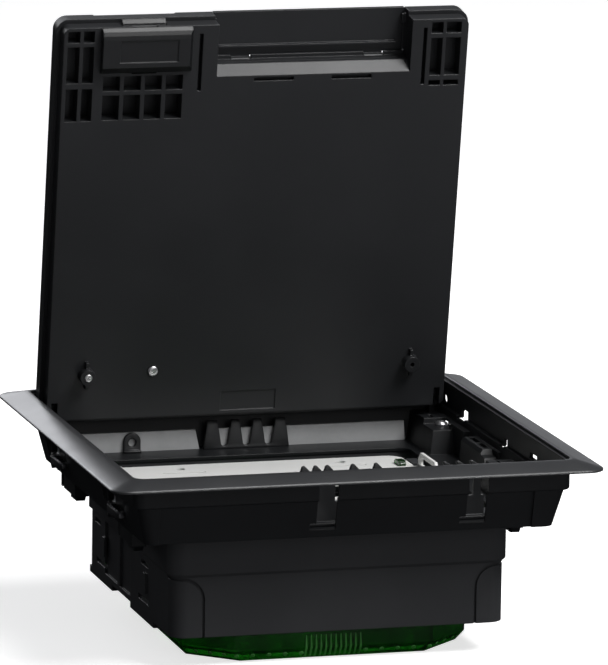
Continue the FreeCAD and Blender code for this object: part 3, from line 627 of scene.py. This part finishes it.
def four_screws(name, model, node, inset, seat, first_turn, next_turn):
    """Copies of one screw near the corners of the node's box, each turned to its own angle."""
    low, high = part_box(node)
    x = high[0] / MM - inset
    corners = [(side * x, y) for y in (low[1] / MM + inset, high[1] / MM - inset) for side in (-1, 1)]
    screws = []
    for i, (across, along) in enumerate(corners):
        turn = Matrix.Rotation(math.radians(first_turn + next_turn * i), 4, "Z")
        screws.append(copy_at(model, "%s_%d" % (name, i), at(across, along, seat) @ turn))
    bpy.data.objects.remove(model)
    hand_over(joined(name + "_set", screws), "box", bright_steel, "steel", node)


def claw_screw_set():
    """The four long screws that the claw nuts climb."""
    head, head_above_ledge = 2.7, 1.6
    low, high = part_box("claw_screws")
    ledge = high[2] / MM - head_above_ledge
    model = cross_head_screw("claw_screw", head, 1.75, 1.95, ledge - low[2] / MM, 1.8)
    four_screws("claw_screw", model, "claw_screws", head, ledge, 17, 31)


def frame_screw_set():
    """The four short screws that hold the off-white frame."""
    inset, head_above_frame = 2.3, 1.3
    low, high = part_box("device_frame_screws")
    top = high[2] / MM - head_above_frame
    model = cross_head_screw("frame_screw", 2.0, 0.75, 1.2, top - low[2] / MM, 1.1)
    four_screws("frame_screw", model, "device_frame_screws", inset, top, 40, -23)


def latch_coil():
    """Round-wire spring behind the latch."""
    low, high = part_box("latch_spring")
    middle = Vector((low[i] + high[i]) / 2 for i in range(3))
    turns, length, coil_radius, wire_radius = 6, 13.6, 1.05, 0.2
    nothing_selected()
    bpy.ops.mesh.primitive_circle_add(vertices=8, radius=wire_radius * MM, fill_type="NGON",
                                      location=(coil_radius * MM, 0, 0), rotation=(math.pi / 2, 0, 0))
    coil = settled("latch_coil")
    apply_modifier(coil, "SCREW", axis="Z", angle=2 * math.pi, screw_offset=length / turns * MM,
                   iterations=turns, steps=24, render_steps=24, use_merge_vertices=True)
    edit_mode()
    bpy.ops.mesh.select_all(action="SELECT")
    bpy.ops.mesh.remove_doubles(threshold=0.000002)
    bpy.ops.mesh.fill_holes(sides=8)
    bpy.ops.mesh.normals_make_consistent(inside=False)
    object_mode()
    bpy.ops.object.shade_smooth_by_angle(angle=math.radians(60))
    lean = Matrix.Rotation(math.pi / 2 - LID_OPEN, 4, "X")
    coil.data.transform(Matrix.Translation(middle) @ lean @ at(0, 0, -length / 2))
    hand_over(coil, "lid", bright_steel, "steel", "latch_spring")
    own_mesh(coil)


# Trim on the green tub

def tub_grips():
    """Twelve slim grip ribs down the tub's front and over its lower bevel."""
    low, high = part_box("connection_tub")
    front = low[1] / MM + TUB_RIB_HEIGHT
    bottom = low[2] / MM
    half_width, proud, sunk, foot = 0.40, 0.6, 0.5, 0.25
    first_x, pitch, count = -11.5, 2.02, 12
    rib = new_block("grip_rib", (-half_width, front - proud, bottom + foot),
                    (half_width, front + sunk, GRIP_TOP))
    edit_mode()
    bpy.ops.mesh.select_all(action="SELECT")
    bpy.ops.mesh.bisect(plane_co=(0, 0, (bottom + TUB_BEVEL_HIGH) * MM), plane_no=(0, 0, 1))
    pick_faces(lambda middle, normal: normal.z < -0.9)
    bpy.ops.transform.translate(value=(0, TUB_BEVEL_IN * MM, 0))
    pick_faces(lambda middle, normal: normal.z > 0.9)
    bpy.ops.transform.resize(value=(0.6, 0.45, 1),
                             center_override=(0, (front + sunk) * MM, GRIP_TOP * MM))
    object_mode()
    eased(rib, 0.16, 3)
    ribs = [copy_at(rib, "grip_rib_%d" % i, at(first_x + i * pitch, 0, 0)) for i in range(count)]
    bpy.data.objects.remove(rib)
    hand_over(joined("tub_grip_ribs", ribs), "box", highlit_green, "green_plastic")


def tub_pips():
    """Small lens-shaped pips in a row on the tub's lower bevel."""
    low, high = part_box("connection_tub")
    front = low[1] / MM + TUB_RIB_HEIGHT
    middle_in = TUB_BEVEL_IN * 0.48
    z = low[2] / MM + TUB_BEVEL_HIGH * 0.52
    pitch = 6.6
    pip = new_drum("pip", 0.95, -0.25, 0.25, 20)
    edit_mode()
    pick_faces(lambda middle, normal: normal.z > 0.9)
    for rise in (0.14, 0.05):
        bpy.ops.mesh.inset(thickness=0.3 * MM)
        bpy.ops.transform.translate(value=(0, 0, rise * MM))
    object_mode()
    bpy.ops.object.shade_smooth_by_angle(angle=math.radians(60))

    def lean(inward):
        return Matrix.Rotation(math.pi / 2 + math.atan2(inward, TUB_BEVEL_HIGH), 4, "X")

    beside_grips = [i for i in range(-6, 7) if abs(i) > 1]
    spots = [at(i * pitch, front + middle_in, z) @ lean(TUB_BEVEL_IN) for i in beside_grips]
    corner_turn = math.atan2(TUB_CUT_Y, TUB_CUT_X)
    corner_in = TUB_BEVEL_IN * (math.sin(corner_turn) + math.cos(corner_turn))
    for side in (-1, 1):
        turned = Matrix.Rotation(side * corner_turn, 4, "Z") @ lean(corner_in)
        for share in (0.24, 0.5, 0.76):
            x = side * (TUB_FLAT_HALF + TUB_CUT_X * share - middle_in)
            spots.append(at(x, front + TUB_CUT_Y * share + middle_in, z) @ turned)
    pips = [copy_at(pip, "pip_%d" % i, spot) for i, spot in enumerate(spots)]
    bpy.data.objects.remove(pip)
    hand_over(joined("tub_bevel_pips", pips), "box", highlit_green, "green_plastic")


cable_combs()
earth_tab_plate()
claw_blades()
lid_face_screw()
boss_sleeve()
claw_screw_set()
frame_screw_set()
latch_coil()
tub_grips()
tub_pips()


# Floor, light and camera

def ray_share(tree, *kinds):
    """1 for the named kinds of light path, 0 for the rest."""
    rays = tree.nodes.new("ShaderNodeLightPath")
    share = Value(tree, rays.outputs[kinds[0]])
    for kind in kinds[1:]:
        share = share.most(Value(tree, rays.outputs[kind]))
    return share


def plain_stage():
    """A pale floor that reflects as darker close to the box and behind it, a painted shade in its colour
    for gloss.
    """
    nothing_selected()
    bpy.ops.mesh.primitive_plane_add(size=2 * FLOOR_HALF, location=(0, 0, FLOOR_Z))
    floor = bpy.context.object
    floor.name = "floor"
    bpy.ops.object.transform_apply(location=True, rotation=True, scale=True)
    material = bpy.data.materials.new("pale_floor")
    material.use_nodes = True
    tree = material.node_tree
    tree.nodes.clear()
    new, link = tree.nodes.new, tree.links.new
    out = new("ShaderNodeOutputMaterial")
    matt = new("ShaderNodeBsdfDiffuse")
    matt.inputs["Color"].default_value = (FLOOR_PAINT, FLOOR_PAINT, FLOOR_PAINT, 1)
    glow = new("ShaderNodeEmission")
    glow.inputs["Strength"].default_value = FLOOR_GLOW
    lit = new("ShaderNodeAddShader")
    link(matt.outputs[0], lit.inputs[0])
    link(glow.outputs[0], lit.inputs[1])
    bounce = new("ShaderNodeBsdfDiffuse")
    bounce.inputs["Color"].default_value = (FLOOR_BOUNCE, FLOOR_BOUNCE, FLOOR_BOUNCE, 1)
    split = new("ShaderNodeSeparateXYZ")
    link(new("ShaderNodeTexCoord").outputs["Object"], split.inputs[0])
    ahead = new("ShaderNodeMapRange")
    ahead.interpolation_type = "SMOOTHSTEP"
    ahead.inputs["From Min"].default_value = 0.0
    ahead.inputs["From Max"].default_value = FLOOR_AHEAD
    link(split.outputs["Y"], ahead.inputs["Value"])
    shade = new("ShaderNodeMix")
    shade.data_type = "RGBA"
    shade.inputs[6].default_value = (*FLOOR_GLOSS_NEAR, 1)
    shade.inputs[7].default_value = (*FLOOR_GLOSS_AHEAD, 1)
    link(ahead.outputs["Result"], shade.inputs[0])
    dim = new("ShaderNodeBsdfDiffuse")
    link(shade.outputs[2], dim.inputs["Color"])
    glossy = new("ShaderNodeMixShader")
    link(ray_share(tree, "Is Glossy Ray").socket, glossy.inputs[0])
    link(bounce.outputs[0], glossy.inputs[1])
    link(dim.outputs[0], glossy.inputs[2])
    mix = new("ShaderNodeMixShader")
    link(ray_share(tree, "Is Camera Ray", "Is Transmission Ray").socket, mix.inputs[0])
    link(glossy.outputs[0], mix.inputs[1])
    link(lit.outputs[0], mix.inputs[2])
    link(mix.outputs[0], out.inputs[0])
    floor.data.materials.append(material)


def world_light():
    """White for the camera, and for the rest a dim room with a bright panel low behind the left side."""
    world = bpy.data.worlds.new("studio")
    bpy.context.scene.world = world
    world.use_nodes = True
    tree = world.node_tree
    tree.nodes.clear()
    out = tree.nodes.new("ShaderNodeOutputWorld")
    room = tree.nodes.new("ShaderNodeBackground")
    white = tree.nodes.new("ShaderNodeBackground")
    white.inputs["Strength"].default_value = 1.0
    white.inputs["Color"].default_value = (1, 1, 1, 1)
    coord = tree.nodes.new("ShaderNodeTexCoord")
    split = tree.nodes.new("ShaderNodeSeparateXYZ")
    tree.links.new(coord.outputs["Generated"], split.inputs[0])
    height = Value(tree, split.outputs["Z"])
    back = Value(tree, split.outputs["Y"])
    side = Value(tree, split.outputs["X"])
    band = ((1.0 - (height - BAND_HEIGHT).size() / BAND_WIDTH) * 2.0).clamped()
    glow = band * (back * 2.0).clamped() * (1.0 - (side - BAND_RIGHT_EDGE) * 6.0).clamped()
    glow = glow * (1.0 + (side - BAND_LEFT_EDGE) * 4.0).clamped()
    near_floor = (1.0 - height.size() * 5.0).clamped()
    low_glow = near_floor * (back * 2.0).clamped() * (side * 4.0).clamped()
    ramp = tree.nodes.new("ShaderNodeMix")
    ramp.data_type = "RGBA"
    tree.links.new((glow + low_glow * LOW_GLOW).clamped().socket, ramp.inputs[0])
    ramp.inputs[6].default_value = (*ROOM_DIM, 1)
    ramp.inputs[7].default_value = (*ROOM_PANEL, 1)
    tree.links.new(ramp.outputs[2], room.inputs["Color"])
    mix = tree.nodes.new("ShaderNodeMixShader")
    tree.links.new(ray_share(tree, "Is Camera Ray", "Is Transmission Ray").socket, mix.inputs[0])
    tree.links.new(room.outputs[0], mix.inputs[1])
    tree.links.new(white.outputs[0], mix.inputs[2])
    tree.links.new(mix.outputs[0], out.inputs[0])


def soft_lamp(name, place, aim, size, power):
    """A white rectangular lamp that faces its aim."""
    data = bpy.data.lights.new(name, "AREA")
    data.shape = "RECTANGLE"
    data.size, data.size_y = size
    data.energy = power
    lamp = bpy.data.objects.new(name, data)
    bpy.context.scene.collection.objects.link(lamp)
    lamp.location = place
    lamp.rotation_euler = (Vector(aim) - Vector(place)).to_track_quat("-Z", "Y").to_euler()


def photo_camera():
    """The camera that was fitted to the flange, lid and tray in the photograph."""
    azimuth = math.radians(16.05)
    elevation = math.radians(10.91)
    roll = math.radians(0.82)
    distance = 2621.5
    focal_px, photo_height_px = 6541.2, 665
    sensor = 36.0
    slide_x, slide_y = -3.86, -40.05
    back = Vector((-math.sin(azimuth) * math.cos(elevation), -math.cos(azimuth) * math.cos(elevation),
                   math.sin(elevation)))
    right = Vector((math.cos(azimuth), -math.sin(azimuth), 0))
    up = back.cross(right)
    right_rolled = right * math.cos(roll) + up * math.sin(roll)
    up_rolled = up * math.cos(roll) - right * math.sin(roll)
    place = (back * distance - right_rolled * slide_x - up_rolled * slide_y) * MM
    data = bpy.data.cameras.new("photo_camera")
    data.sensor_width = sensor
    data.lens = focal_px / photo_height_px * sensor
    data.clip_start = 0.1
    data.clip_end = 60.0
    camera = bpy.data.objects.new("photo_camera", data)
    bpy.context.scene.collection.objects.link(camera)
    turn = Matrix((right_rolled, up_rolled, back)).transposed()
    camera.matrix_world = Matrix.Translation(place) @ turn.to_4x4()
    bpy.context.scene.camera = camera


plain_stage()
world_light()
key_place = tuple(part * KEY_DISTANCE for part in KEY_DIRECTION)
soft_lamp("key_box", key_place, (0, 0, 0.03), (0.7, 0.7), 33.0)
soft_lamp("top_box", (0.35, 0.16, 1.45), (0, 0, 0.0), (0.55, 0.5), 8.0)
soft_lamp("fill_from_front", (0.4, -2.2, 0.8), (0, 0, 0.05), (1.6, 1.2), 6.0)
photo_camera()
bpy.context.scene.view_settings.view_transform = "Standard"
